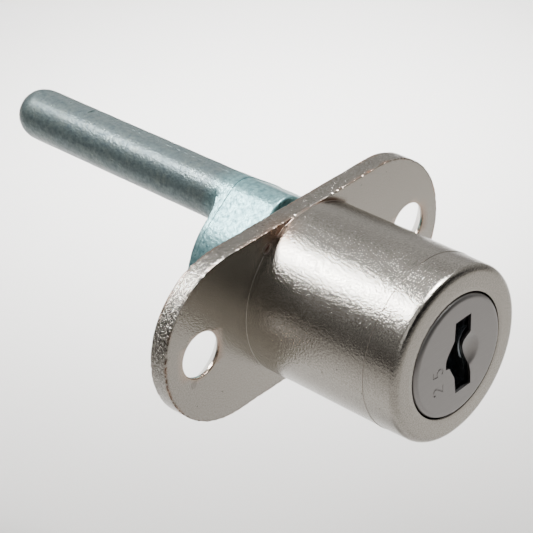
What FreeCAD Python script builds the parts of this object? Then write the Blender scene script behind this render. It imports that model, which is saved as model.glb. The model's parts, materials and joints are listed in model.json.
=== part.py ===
import FreeCAD, Part
import math
import os

# A two-hole furniture lock that works the locking bar of a stack of drawers.
# Millimetres. The lock's axis is Y: the key side faces -Y, the eccentric pin points to +Y and Z is up.
# The origin is on the lock's axis, in the flange's front face, the face that bears on the panel.

V = FreeCAD.Vector

# Housing: barrel and flange in one casting
barrel_diameter = 20.0
barrel_length = 20.4
witness_setback = 4.15       # from the barrel's front to the die's witness line
nose_draft = 0.8             # degrees, from the witness line forwards
nose_round = 0.95
barrel_root_fillet = 0.5
barrel_root_step = 0.15      # radial, keeps the barrel's foot inside the flange's long sides
flange_length = 43.8
flange_width = 19.8
flange_thickness = 2.3
flange_edge_round = 0.3
screw_spacing = 33.5
screw_hole_diameter = 5.3
countersink_land = 0.4
countersink_angle = 90.0     # degrees, whole cone

# Plug, its pressed cap and the key slot
plug_diameter = 12.5
plug_head_diameter = 13.2
plug_head_length = 2.2
plug_front_wall = 1.0
plug_slot_wall = 0.9         # plug metal left at each end of the row of wafers
plug_tail_wall = 2.6
cap_thickness = 0.35
cap_recess = 0.2             # how far the cap's face sits behind the barrel's front
cap_edge_round = 0.45
cap_gap = 0.13               # radial, between the cap and the barrel's ring
cap_crimp_depth = 0.2
cap_crimp_length = 0.25
cap_skirt_length = 2.0
key_height = 8.76
key_blade_width = 2.5        # the slot's plain ends
key_blade_offset = 0.78      # the slot's plain ends stand this far right of the axis
key_bulge = 2.06             # the slot's left bulge, from the axis
key_ward = 1.2               # the slot's right ward, from the axis
key_inset = 0.1              # the plug's own slot is this much smaller than the cap's
# Corners of the slot that depend on its height: each is (x, share of the half height)
key_left_flare = 0.18        # how far the plain ends lean outwards before the bulge
key_bulge_start = 0.53
key_bulge_shoulder = (1.77, 0.29)
key_bulge_end = -0.13
key_hook = (1.48, -0.16)
key_ward_foot = -0.68
key_ward_corner = (1.3, 0.0)
key_ward_middle = 0.22
key_ward_top = (1.4, 0.42)
key_ward_head = (1.98, 0.51)
key_chamber_width = 5.4
dimple_radius = 2.2
dimple_depth = 0.45
dimple_height = 1.1          # between the centres of the dimple's two round ends
dimple_x = 2.0
dimple_z = 0.55

# Wafers and their springs
wafer_count = 7
wafer_thickness = 1.1
wafer_width = 6.4
wafer_throw = 0.9
wafer_end_inset = 0.05
wafer_window_width = 4.6
wafer_window_height = 7.6
wafer_code_step = 0.35
wafer_code_base = 2.6
wafer_codes = (0, 2, 1, 3, 0, 1, 2)
ear_length = 1.25
ear_height = 1.2
spring_diameter = 1.2
spring_wire = 0.18
spring_turns = 5
spring_seat_z = 3.4          # depth of the spring's seat below the axis

# Crank with its eccentric pin
pin_diameter = 6.2
pin_offset = 7.0
pin_projection = 43.3        # from the flange's rear face to the pin's tip
pin_root_fillet = 1.4
web_radius = 8.75
web_end_radius = 3.27        # round end of the web, a little proud of the pin
web_thickness = 7.1
web_gap = 0.8                # from the flange's rear face to the web
journal_diameter = 15.1
journal_seat_depth = 3.5
stop_lug_angle = 39.0        # degrees
stop_lug_length = 1.8
turn_angle = 180.0           # degrees the key turns
stop_slack = 0.5             # degrees, at each end of the turn
tongue_width = 9.0
tongue_height = 4.0
tongue_length = 5.0

# Screw and spring washer that hold the crank
screw_diameter = 3.0
screw_length = 10.0
screw_head_diameter = 5.6
screw_head_height = 2.3
screw_crown_height = 1.04    # the head's rounded top
screw_crown_flat = 2.24      # diameter of the flat in its middle
screw_crown_shoulder = (4.6, 0.26)  # diameter and depth of a point half way over the crown
screw_point_chamfer = 0.38
screw_recess_width = 0.75
screw_recess_span = 3.2
screw_recess_depth = 1.3
screw_recess_taper = 0.24    # radial, from the cross's span out at the head's top
washer_thickness = 0.8
washer_diameter = 6.2
washer_split = 0.5
head_cover = 0.3             # how far the screw's head sits below the web's rear face

# Clearances
running_clearance = 0.05     # radial, of a part that turns in its bore
axial_clearance = 0.1
slide_clearance = 0.05       # each side of a wafer in its slot
fit_clearance = 0.02         # between pieces that are fixed to each other
groove_clearance = 0.25
bore_wall_clearance = 0.15
counterbore_clearance = 0.2

# Places along Y, worked out from the front of the barrel and the flange
front_y = -barrel_length
witness_y = front_y + witness_setback
flange_rear_y = flange_thickness
cap_face_y = front_y + cap_recess
head_front_y = cap_face_y + cap_thickness
head_rear_y = head_front_y + plug_head_length
shoulder_y = head_rear_y + axial_clearance / 2
seat_floor_y = flange_rear_y - journal_seat_depth
journal_front_y = seat_floor_y + axial_clearance
web_front_y = flange_rear_y + web_gap
web_rear_y = web_front_y + web_thickness
pin_tip_y = flange_rear_y + pin_projection
tongue_end_y = journal_front_y + tongue_length
wafers_front_y = head_rear_y + plug_slot_wall
wafers_rear_y = journal_front_y - plug_tail_wall
wafer_pitch = (wafers_rear_y - wafers_front_y) / wafer_count
head_top_y = web_rear_y - head_cover
head_seat_y = head_top_y - screw_head_height
washer_seat_y = head_seat_y - washer_thickness
screw_end_y = head_seat_y - screw_length

# Radii, worked out from the same values
barrel_radius = barrel_diameter / 2
plug_radius = plug_diameter / 2
bore_radius = plug_radius + running_clearance
head_radius = plug_head_diameter / 2
cap_inner_radius = head_radius + fit_clearance
cap_outer_radius = cap_inner_radius + cap_thickness
ring_radius = cap_outer_radius + cap_gap
groove_radius = plug_radius + wafer_throw + groove_clearance
journal_radius = journal_diameter / 2
seat_radius = journal_radius + running_clearance
pin_radius = pin_diameter / 2
screw_radius = screw_diameter / 2
screw_hole_radius = screw_radius + fit_clearance
counterbore_radius = washer_diameter / 2 + counterbore_clearance
wafer_half = wafer_width / 2
slot_half = wafer_half + slide_clearance
slot_thickness = wafer_thickness + 2 * slide_clearance
ear_reach = wafer_half + ear_length
pocket_reach = ear_reach + groove_clearance
pocket_half = spring_diameter / 2 + slide_clearance * 2
wafer_end_radius = plug_radius - wafer_end_inset


def ypoint(r, angle, y):
    """A point at a radius and an angle about the lock's axis: 0 is +X, 90 is up."""
    a = math.radians(angle)
    return V(r * math.cos(a), y, r * math.sin(a))


def cylinder(radius, y0, y1, x=0.0, z=0.0):
    return Part.makeCylinder(radius, y1 - y0, V(x, y0, z), V(0, 1, 0))


def cone(r0, r1, y0, y1, x=0.0, z=0.0):
    return Part.makeCone(r0, r1, y1 - y0, V(x, y0, z), V(0, 1, 0))


def block(x0, x1, y0, y1, z0, z1):
    return Part.makeBox(x1 - x0, y1 - y0, z1 - z0, V(x0, y0, z0))


def lathe(edges, z=0.0):
    """Turn a closed outline in the XY plane, X being the radius, about a line along Y at height z."""
    face = Part.Face(Part.Wire(Part.__sortEdges__(edges)))
    solid = face.revolve(V(0, 0, 0), V(0, 1, 0), 360)
    solid.translate(V(0, 0, z))
    return solid


def line(a, b):
    return Part.LineSegment(a, b).toShape()


def arc(a, middle, b):
    return Part.Arc(a, middle, b).toShape()


def quarter(centre, radius, start, end):
    """An arc in the XY plane about a centre, between two angles in degrees."""
    points = []
    for angle in (start, (start + end) / 2, end):
        a = math.radians(angle)
        points.append(centre + V(radius * math.cos(a), radius * math.sin(a), 0))
    return arc(*points), points[0], points[2]


def polygon_edges(points):
    return [line(a, b) for a, b in zip(points, points[1:])]


def prism(wire, y1):
    """Push a closed wire that lies square to Y on to y1."""
    face = Part.Face(wire)
    return face.extrude(V(0, y1 - face.BoundBox.YMin, 0))


def sector(r0, r1, a0, a1, y0, y1):
    """A ring's sector between two radii and two angles."""
    am = (a0 + a1) / 2
    outer = arc(ypoint(r1, a0, y0), ypoint(r1, am, y0), ypoint(r1, a1, y0))
    inner = arc(ypoint(r0, a1, y0), ypoint(r0, am, y0), ypoint(r0, a0, y0))
    sides = [line(ypoint(r1, a1, y0), ypoint(r0, a1, y0)), line(ypoint(r0, a0, y0), ypoint(r1, a0, y0))]
    return prism(Part.Wire([outer, sides[0], inner, sides[1]]), y1)


def obround(length, width, y0):
    """The outline of a plate with straight sides along X and half-round ends."""
    r = width / 2
    c = length / 2 - r
    edges = [
        line(V(-c, y0, r), V(c, y0, r)),
        arc(V(c, y0, r), V(c + r, y0, 0), V(c, y0, -r)),
        line(V(c, y0, -r), V(-c, y0, -r)),
        arc(V(-c, y0, -r), V(-c - r, y0, 0), V(-c, y0, r)),
    ]
    return Part.Wire(edges)


def teardrop(big_radius, tip_radius, tip_z, y0):
    """Two circles, one on the axis and one above it, joined by their outer tangents."""
    tilt = math.degrees(math.asin((big_radius - tip_radius) / tip_z))
    tip = V(0, 0, tip_z)
    big = [ypoint(big_radius, a, y0) for a in (180 - tilt, 270, tilt)]
    top = [tip + ypoint(tip_radius, a, y0) for a in (tilt, 90, 180 - tilt)]
    return Part.Wire([arc(*big), line(big[2], top[0]), arc(*top), line(top[2], big[0])])


def key_outline(y0, inset=0.0):
    """The key slot: two plain ends right of the axis, a bulge to the left and a ward from the right."""
    half = key_height / 2
    left = key_blade_offset - key_blade_width / 2
    right = key_blade_offset + key_blade_width / 2

    def at(x, share):
        return V(x, y0, half * share)

    flare = left - key_left_flare
    bulge = at(-key_bulge, 0.0)
    corner, top = at(*key_ward_corner), at(*key_ward_top)
    edges = polygon_edges([at(right, 1), at(left, 1), at(flare, key_bulge_start)])
    edges.append(arc(at(flare, key_bulge_start), at(-key_bulge_shoulder[0], key_bulge_shoulder[1]), bulge))
    edges += polygon_edges([
        bulge, at(-key_bulge, key_bulge_end), at(-key_hook[0], key_hook[1]), at(flare, -key_bulge_start),
        at(left, -1), at(right, -1), at(right, key_ward_foot), corner,
    ])
    edges.append(arc(corner, at(key_ward, key_ward_middle), top))
    edges += polygon_edges([top, at(*key_ward_head), at(right, 1)])
    wire = Part.Wire(edges)
    if inset > 0:
        wire = wire.makeOffset2D(-inset, join=2)
    return wire


def dimple(radius):
    """A stub capsule whose skin is the scooped dimple beside the key slot."""
    y = cap_face_y - dimple_radius + dimple_depth
    low = V(dimple_x, y, dimple_z - dimple_height / 2)
    high = V(dimple_x, y, dimple_z + dimple_height / 2)
    middle = Part.makeCylinder(radius, dimple_height, low, V(0, 0, 1))
    return middle.fuse([Part.makeSphere(radius, low), Part.makeSphere(radius, high)])


def wafer_place(index):
    """The wafer's middle along Y, and 1 if it is thrown up or -1 if it is thrown down."""
    y = wafers_front_y + (index + 0.5) * wafer_pitch
    return y, 1 if index % 2 == 0 else -1


def flip(shape, way):
    """Turn a shape made for an up-thrown wafer half round the axis for a down-thrown one."""
    if way < 0:
        shape.rotate(V(0, 0, 0), V(0, 1, 0), 180)
    return shape


def make_housing():
    nose_radius = barrel_radius - witness_setback * math.tan(math.radians(nose_draft))
    nose, a, b = quarter(V(nose_radius - nose_round, front_y + nose_round, 0), nose_round, -90, 0)
    sunk = flange_edge_round
    foot = barrel_radius - barrel_root_step
    ring = [V(barrel_radius, witness_y, 0), V(barrel_radius, -barrel_root_fillet, 0)]
    ring += [V(foot, 0, 0), V(foot, sunk, 0), V(0, sunk, 0), V(0, front_y, 0), a]
    body = lathe([nose, line(b, ring[0])] + polygon_edges(ring))
    plate = prism(obround(flange_length, flange_width, 0.0), flange_rear_y)
    rim = [e for e in plate.Edges if e.BoundBox.YLength < flange_thickness / 2]
    plate = plate.makeFillet(flange_edge_round, rim)
    centre = V(barrel_radius + barrel_root_fillet, -barrel_root_fillet, 0)
    root, c, d = quarter(centre, barrel_root_fillet, 90, 180)
    inner = [d, V(barrel_radius - sunk, -barrel_root_fillet, 0), V(barrel_radius - sunk, sunk, 0)]
    flare = lathe([root] + polygon_edges(inner + [V(c.x, sunk, 0), c]))
    inside = obround(flange_length - 2 * sunk, flange_width - 2 * sunk, -barrel_root_fillet)
    body = body.fuse([plate, flare.common(prism(inside, flange_rear_y))])
    cuts = [
        cylinder(ring_radius, front_y, shoulder_y),
        cylinder(bore_radius, front_y, flange_rear_y),
        cylinder(seat_radius, seat_floor_y, flange_rear_y),
    ]
    groove_front = wafers_front_y - groove_clearance
    groove = cylinder(groove_radius, groove_front, seat_floor_y)
    half = wafer_half + groove_clearance
    cuts.append(groove.common(block(-half, half, groove_front, seat_floor_y, -groove_radius, groove_radius)))
    lug_half = stop_lug_angle / 2 + stop_slack
    track_front = journal_front_y - stop_lug_length - axial_clearance
    cuts.append(sector(bore_radius, seat_radius, -turn_angle - lug_half, lug_half, track_front, seat_floor_y))
    for side in (-1, 1):
        x = side * screw_spacing / 2
        r = screw_hole_diameter / 2
        wide = r + (flange_thickness - countersink_land) * math.tan(math.radians(countersink_angle / 2))
        cuts.append(cylinder(r, 0.0, flange_rear_y, x))
        cuts.append(cone(r, wide, countersink_land, flange_rear_y, x))
    for cut in cuts:
        body = body.cut(cut)
    return body.removeSplitter()


def make_plug():
    body = cylinder(head_radius, head_front_y, head_rear_y)
    crimp_y = cap_face_y + cap_skirt_length
    crimp_front = crimp_y - cap_crimp_length - fit_clearance
    crimp = cylinder(head_radius, crimp_front, head_rear_y)
    crimp = crimp.cut(cylinder(head_radius - cap_crimp_depth - fit_clearance, crimp_front, head_rear_y))
    body = body.cut(crimp)
    body = body.fuse([
        cylinder(plug_radius, head_rear_y, journal_front_y),
        block(-tongue_width / 2, tongue_width / 2, journal_front_y, tongue_end_y,
              -tongue_height / 2, tongue_height / 2),
    ])
    body = body.cut(prism(key_outline(head_front_y, key_inset), wafers_rear_y))
    wide, high = key_chamber_width / 2, key_height / 2
    body = body.cut(block(-wide, wide, head_front_y + plug_front_wall, head_rear_y, -high, high))
    body = body.cut(dimple(dimple_radius + cap_thickness + fit_clearance))
    for index in range(wafer_count):
        y, way = wafer_place(index)
        slot = block(-slot_half, slot_half, y - slot_thickness / 2, y + slot_thickness / 2,
                     -plug_diameter, plug_diameter)
        pocket = block(0, pocket_reach, y - pocket_half, y + pocket_half, -spring_seat_z, plug_diameter)
        body = body.cut(slot).cut(flip(pocket, way))
    screw_hole = cylinder(screw_hole_radius, screw_end_y - axial_clearance, tongue_end_y)
    return body.cut(screw_hole).removeSplitter()


def make_cap():
    lip_y = cap_face_y + cap_skirt_length
    centre = V(cap_outer_radius - cap_edge_round, cap_face_y + cap_edge_round, 0)
    outside, a, b = quarter(centre, cap_edge_round, -90, 0)
    lip_r = cap_inner_radius - cap_crimp_depth
    outline = [
        b, V(cap_outer_radius, lip_y, 0), V(lip_r, lip_y, 0), V(lip_r, lip_y - cap_crimp_length, 0),
        V(cap_inner_radius, lip_y - cap_crimp_length, 0), V(cap_inner_radius, head_front_y, 0),
        V(0, head_front_y, 0), V(0, cap_face_y, 0), a,
    ]
    body = lathe([outside] + polygon_edges(outline))
    bump = dimple(dimple_radius + cap_thickness)
    keep = block(0, head_radius, head_front_y - cap_thickness / 2, head_front_y + dimple_radius,
                 -head_radius, head_radius)
    body = body.fuse(bump.common(keep))
    body = body.cut(dimple(dimple_radius))
    slot = prism(key_outline(cap_face_y - dimple_radius), head_front_y + dimple_radius)
    return body.cut(slot).removeSplitter()


def make_wafer(index):
    y, way = wafer_place(index)
    y0 = y - wafer_thickness / 2
    y1 = y + wafer_thickness / 2
    body = cylinder(wafer_end_radius, y0, y1)
    body = body.common(block(-wafer_half, wafer_half, y0, y1, -plug_radius, plug_radius))
    ear = block(0, ear_reach, y0, y1, -ear_height / 2, ear_height / 2)
    low = -(wafer_code_base + wafer_code_step * wafer_codes[index % len(wafer_codes)])
    window = block(-wafer_window_width / 2, wafer_window_width / 2, y0, y1, low, low + wafer_window_height)
    return flip(body.fuse(ear).cut(window).removeSplitter(), way)


def biarc(p0, t0, p1, t1):
    """Two arcs that leave p0 along t0 and reach p1 along t1 with one tangent where they meet."""
    v = p1 - p0
    t = t0 + t1
    a = 2 * (1 - t0.dot(t1))
    b = v.dot(t)
    d = (-b + math.sqrt(b * b + a * v.dot(v))) / a
    q0 = p0 + t0 * d
    q1 = p1 - t1 * d
    joint = (q0 + q1) * 0.5
    return [arc_from_tangent(p0, t0, joint), arc_from_tangent(p1, t1 * -1, joint)[::-1]]


def arc_from_tangent(p, t, q):
    """Start, middle and end of the arc that leaves p along t and ends at q."""
    chord = q - p
    side = chord - t * chord.dot(t)
    side.normalize()
    half = math.atan2(chord.dot(side), chord.dot(t))
    radius = chord.Length / (2 * math.sin(half))
    middle = p + t * (radius * math.sin(half)) + side * (radius * (1 - math.cos(half)))
    return (p, middle, q)


def make_spring(index):
    y, way = wafer_place(index)
    wire_r = spring_wire / 2
    coil_r = spring_diameter / 2 - wire_r
    x = slot_half + slide_clearance + spring_diameter / 2
    z0 = -spring_seat_z + wire_r + fit_clearance
    z1 = -ear_height / 2 - wire_r - fit_clearance
    steps = spring_turns * 4
    rise = (z1 - z0) / steps

    def at(k):
        a = k * math.pi / 2
        point = V(x + coil_r * math.cos(a), y + coil_r * math.sin(a), z0 + rise * k)
        way_on = V(-coil_r * math.sin(a), coil_r * math.cos(a), rise / (math.pi / 2))
        way_on.normalize()
        return point, way_on

    edges = []
    for k in range(steps):
        p0, t0 = at(k)
        p1, t1 = at(k + 1)
        for first, middle, last in biarc(p0, t0, p1, t1):
            edges.append(arc(first, middle, last))
    path = Part.Wire(edges)
    start, direction = at(0)
    section = Part.Wire(Part.makeCircle(wire_r, start, direction))
    return flip(path.makePipeShell([section], True, False), way)


def make_crank():
    body = cylinder(journal_radius, journal_front_y, web_front_y)
    lug_half = stop_lug_angle / 2
    lug_inner = bore_radius + bore_wall_clearance
    lug_front = journal_front_y - stop_lug_length
    lug = sector(lug_inner, journal_radius, -lug_half, lug_half, lug_front, journal_front_y)
    web = prism(teardrop(web_radius, web_end_radius, pin_offset, web_front_y), web_rear_y)
    dome_y = pin_tip_y - pin_radius
    pin = cylinder(pin_radius, web_front_y, dome_y, 0.0, pin_offset)
    dome = Part.makeSphere(pin_radius, V(0, dome_y, pin_offset))
    fillet_y = web_rear_y + pin_root_fillet
    root, a, b = quarter(V(pin_radius + pin_root_fillet, fillet_y, 0), pin_root_fillet, 180, 270)
    rest = [b, V(b.x, web_front_y, 0), V(0, web_front_y, 0), V(0, fillet_y, 0), a]
    flare = lathe([root] + polygon_edges(rest), pin_offset)
    drop = prism(teardrop(web_radius, web_end_radius, pin_offset, web_front_y), fillet_y)
    body = body.fuse([lug, web, flare.common(drop), pin, dome])
    slot_x = tongue_width / 2 + fit_clearance
    slot_z = tongue_height / 2 + fit_clearance
    slot_end = tongue_end_y + axial_clearance
    body = body.cut(block(-slot_x, slot_x, journal_front_y, slot_end, -slot_z, slot_z))
    body = body.cut(cylinder(screw_radius + axial_clearance, slot_end, washer_seat_y))
    body = body.cut(cylinder(counterbore_radius, washer_seat_y, fillet_y))
    return body.removeSplitter()


def make_screw():
    r = screw_head_diameter / 2
    flat = V(screw_crown_flat / 2, head_top_y, 0)
    shoulder = V(screw_crown_shoulder[0] / 2, head_top_y - screw_crown_shoulder[1], 0)
    outline = [
        V(0, screw_end_y, 0), V(screw_radius - screw_point_chamfer, screw_end_y, 0),
        V(screw_radius, screw_end_y + screw_point_chamfer, 0), V(screw_radius, head_seat_y, 0),
        V(r, head_seat_y, 0), V(r, head_top_y - screw_crown_height, 0),
    ]
    crown = arc(outline[-1], shoulder, flat)
    close = polygon_edges([flat, V(0, head_top_y, 0), outline[0]])
    body = lathe(polygon_edges(outline) + [crown] + close)
    span = screw_recess_span / 2
    width = screw_recess_width / 2
    low = head_top_y - screw_recess_depth
    cross = block(-span, span, low, head_top_y, -width, width)
    cross = cross.fuse(block(-width, width, low, head_top_y, -span, span))
    taper = cone(screw_recess_width, span + screw_recess_taper, low, head_top_y)
    return body.cut(cross.common(taper)).removeSplitter()


def make_washer():
    body = cylinder(washer_diameter / 2, washer_seat_y, head_seat_y)
    body = body.cut(cylinder(screw_radius + axial_clearance, washer_seat_y, head_seat_y))
    lean = washer_thickness
    split = [
        V(0, washer_seat_y, 0), V(0, head_seat_y, lean), V(0, head_seat_y, lean + washer_split),
        V(0, washer_seat_y, washer_split), V(0, washer_seat_y, 0),
    ]
    cut = Part.Face(Part.makePolygon(split)).extrude(V(washer_diameter, 0, 0))
    return body.cut(cut)


def build():
    pieces = {
        "housing": make_housing(),
        "plug": make_plug(),
        "plug_face_cap": make_cap(),
        "crank_pin": make_crank(),
        "crank_screw": make_screw(),
        "spring_washer": make_washer(),
    }
    for index in range(wafer_count):
        pieces["wafer_%d" % (index + 1)] = make_wafer(index)
        pieces["wafer_spring_%d" % (index + 1)] = make_spring(index)
    return pieces


os.makedirs("parts", exist_ok=True)
for name, shape in build().items():
    solids = shape.Solids
    print("%-16s solids %d valid %s volume %.2f mm3" % (name, len(solids), shape.isValid(), shape.Volume))
    whole = solids[0] if len(solids) == 1 else Part.makeCompound(solids)
    whole.exportStep("parts/%s.step" % name)
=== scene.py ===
# %% [markdown]
# # A furniture lock, seen as a small product photograph
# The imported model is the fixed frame: it holds every exact size. The visible pieces are made again here with
# the fine shape that casting, plating, pressing and wear give them, and each one stands for its solid.

# %% Load the frame
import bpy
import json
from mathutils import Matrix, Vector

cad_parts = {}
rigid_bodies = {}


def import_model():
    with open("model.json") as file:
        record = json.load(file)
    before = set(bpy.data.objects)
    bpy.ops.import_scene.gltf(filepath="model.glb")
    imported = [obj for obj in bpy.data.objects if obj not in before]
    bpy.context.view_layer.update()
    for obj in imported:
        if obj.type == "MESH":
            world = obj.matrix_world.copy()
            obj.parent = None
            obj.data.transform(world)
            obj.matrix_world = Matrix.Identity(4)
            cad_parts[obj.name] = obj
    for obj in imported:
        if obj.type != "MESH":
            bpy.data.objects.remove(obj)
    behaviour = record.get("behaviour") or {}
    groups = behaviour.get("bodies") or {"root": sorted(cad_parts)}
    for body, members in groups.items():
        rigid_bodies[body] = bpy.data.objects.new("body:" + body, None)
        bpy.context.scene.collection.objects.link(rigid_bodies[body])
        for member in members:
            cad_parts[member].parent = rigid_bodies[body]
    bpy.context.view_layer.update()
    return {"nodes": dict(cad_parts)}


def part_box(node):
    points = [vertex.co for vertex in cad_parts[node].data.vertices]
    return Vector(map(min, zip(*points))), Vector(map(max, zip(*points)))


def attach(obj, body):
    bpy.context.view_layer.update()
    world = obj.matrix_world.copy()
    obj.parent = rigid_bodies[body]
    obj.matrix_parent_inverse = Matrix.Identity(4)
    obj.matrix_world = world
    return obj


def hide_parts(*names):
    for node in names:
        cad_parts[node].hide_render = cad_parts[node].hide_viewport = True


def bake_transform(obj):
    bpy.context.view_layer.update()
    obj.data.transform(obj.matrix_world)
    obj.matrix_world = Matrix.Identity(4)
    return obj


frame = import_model()

import json
import math

import bmesh
import bpy
import numpy as np
from mathutils import Matrix, Vector

# %% [markdown]
# ## Units, colours, nodes and points
# Sizes are in millimetres, as on a workshop drawing, and become metres only when a mesh is made. Colours are
# hex, as on a paint chart, and Blender's sockets want them linear. One function adds every node of every
# tree, and each mesh starts from a plain list of points.

# %% Units, colours and one function that adds a node
MM = 0.001


def linear(hex_colour):
    """An sRGB hex colour as Blender's linear red, green, blue and alpha."""
    out = []
    for k in (1, 3, 5):
        c = int(hex_colour[k:k + 2], 16) / 255
        out.append(c / 12.92 if c <= 0.04045 else ((c + 0.055) / 1.055) ** 2.4)
    return (*out, 1.0)


def add(tree, kind, feeds=None, **settings):
    """Add one node: settings are its own options, feeds are values or sockets for its inputs."""
    node = tree.nodes.new(kind)
    for name, value in settings.items():
        setattr(node, name, value)
    for socket, value in (feeds or {}).items():
        if isinstance(value, bpy.types.NodeSocket):
            tree.links.new(value, node.inputs[socket])
        else:
            node.inputs[socket].default_value = value
    return node


# %% A piece from points, and an empty material
def piece_from(name, points, faces=(), material=None, edges=()):
    """A mesh object at the origin from points in millimetres."""
    mesh = bpy.data.meshes.new(name)
    mesh.from_pydata((np.asarray(points, float) * MM).tolist(), edges, faces)
    mesh.update()
    piece = bpy.data.objects.new(name, mesh)
    bpy.context.scene.collection.objects.link(piece)
    if material is not None:
        mesh.materials.append(material)
    return piece


def fresh_material(name):
    """A material whose tree is still empty."""
    material = bpy.data.materials.new(name)
    material.use_nodes = True
    material.node_tree.nodes.clear()
    return material, material.node_tree


# %% [markdown]
# ## The camera
# The photograph was taken from the front left and above with a long lens. Its place was worked out from the
# barrel's circles: an azimuth and elevation, a small roll, and where the lock's own origin falls in the
# picture.

# %% Camera
picture_px = 533
view_azimuth, view_elevation, view_roll = (math.radians(a) for a in (-45.18, 32.49, -2.946))
origin_px = (309.63, 287.02)
camera_distance = 214.53
focal_px = 1968.1
sensor_mm = 36.0

back = Vector((math.sin(view_azimuth) * math.cos(view_elevation),
               -math.cos(view_azimuth) * math.cos(view_elevation), math.sin(view_elevation)))
level = Vector((math.cos(view_azimuth), math.sin(view_azimuth), 0))
rise = back.cross(level)
right = level * math.cos(view_roll) + rise * math.sin(view_roll)
up = rise * math.cos(view_roll) - level * math.sin(view_roll)
half_px = picture_px / 2
place = (back * camera_distance
         - right * ((origin_px[0] - half_px) * camera_distance / focal_px)
         + up * ((origin_px[1] - half_px) * camera_distance / focal_px))

camera_data = bpy.data.cameras.new("camera")
camera_data.sensor_fit = "HORIZONTAL"
camera_data.sensor_width = sensor_mm
camera_data.lens = focal_px / picture_px * sensor_mm
camera_data.clip_start = 0.01
camera = bpy.data.objects.new("camera", camera_data)
camera.matrix_world = Matrix.Translation(place * MM) @ Matrix((right, up, back)).transposed().to_4x4()
bpy.context.scene.collection.objects.link(camera)
bpy.context.scene.camera = camera
print("camera at", [round(v, 1) for v in place], "mm, lens", round(camera_data.lens, 1), "mm")

# %% [markdown]
# ## Floor and light
# Bright nickel shows its surroundings more than itself, so each band on the barrel tells what stood in one
# direction of the room. The floor is matt white paper, which gives a soft tone and no shine. It lies well
# below the lock, and a pool of light is painted into its colour: pale where the camera sees it, and painted
# greyer farther out, where only the casting's underside mirrors it.

# %% Floor
floor_z, floor_half = -60.0, 1500.0
light_pool_centre, light_pool_core_reach, light_pool_edge_reach = (0.085, 0.10, 0), 60, 221  # where the pool of light painted on the paper is centred, how far it stays pale, and where it has turned grey
paper, tree = fresh_material("matt_white_paper")
spot = add(tree, "ShaderNodeTexCoord").outputs["Object"]
gap = add(tree, "ShaderNodeVectorMath", {0: spot, 1: light_pool_centre}, operation="DISTANCE").outputs["Value"]
# a pool of light painted into the paper's colour: pale within the core, painted grey beyond its edge
painted_light_pool = add(tree, "ShaderNodeMapRange", {0: gap, 1: light_pool_edge_reach * MM, 2: light_pool_core_reach * MM})
tone = add(tree, "ShaderNodeMix", {"Factor": painted_light_pool.outputs[0], 6: linear("#8F8C89"), 7: linear("#DAD9D7")},
           data_type="RGBA")
sheet = add(tree, "ShaderNodeBsdfDiffuse", {"Color": tone.outputs[2], "Roughness": 0.8})
add(tree, "ShaderNodeOutputMaterial", {"Surface": sheet.outputs[0]})
floor = piece_from("floor", [(x * floor_half, y * floor_half, floor_z)
                             for x, y in ((-1, -1), (1, -1), (1, 1), (-1, 1))], [(0, 1, 2, 3)], paper)

# %% [markdown]
# Three lamps are enough. A softbox behind the lock makes the barrel's long white streak, a large box overhead
# lights every upper side, and a small lamp with a grid brightens the paper behind the lock.

# %% Lamps
def area_light(name, way, distance, size, watts, aim=(0, 0, 0), spread=180.0):
    """A square softbox that stands off in one direction and faces a point; a grid on it narrows its beam."""
    data = bpy.data.lights.new(name, "AREA")
    data.size = size * MM
    data.energy = watts
    data.spread = math.radians(spread)
    lamp = bpy.data.objects.new(name, data)
    target = Vector(aim)
    place = target + Vector(way).normalized() * distance
    turn = (place - target).to_track_quat("Z", "Y").to_matrix().to_4x4()
    lamp.matrix_world = Matrix.Translation(place * MM) @ turn
    bpy.context.scene.collection.objects.link(lamp)


area_light("softbox", (-0.300, 0.597, 0.744), distance=300, size=74, watts=0.95, aim=(-5, -21, 7))
area_light("top_box", (0.22, 0.02, 0.97), distance=400, size=150, watts=4.2)
area_light("table_light", (-0.1, -0.35, 0.93), distance=330, size=100, watts=0.35, aim=(112, 108, floor_z),
           spread=44.0)
print("lamps:", ", ".join(lamp.name for lamp in bpy.data.lights))

# %% [markdown]
# The room is a sky painted in soft-edged parts: grey all round, lighter on the right and high at the back,
# dark low down at the back left, one bright card at the upper left, and dark above the front.

# %% The room
studio = bpy.data.worlds.new("studio")
bpy.context.scene.world = studio
studio.use_nodes = True
sky = studio.node_tree
sky.nodes.clear()
where = add(sky, "ShaderNodeTexCoord").outputs["Generated"]
split = add(sky, "ShaderNodeSeparateXYZ", {0: where})


def lobe(way, edge, core):
    """How much of one part of the room a direction sees: 0 at the lobe's edge, 1 in its core."""
    near = add(sky, "ShaderNodeVectorMath", {0: where, 1: Vector(way).normalized()}, operation="DOT_PRODUCT")
    return add(sky, "ShaderNodeMapRange", {0: near.outputs["Value"], 1: edge, 2: core},
               interpolation_type="SMOOTHSTEP").outputs[0]


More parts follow.
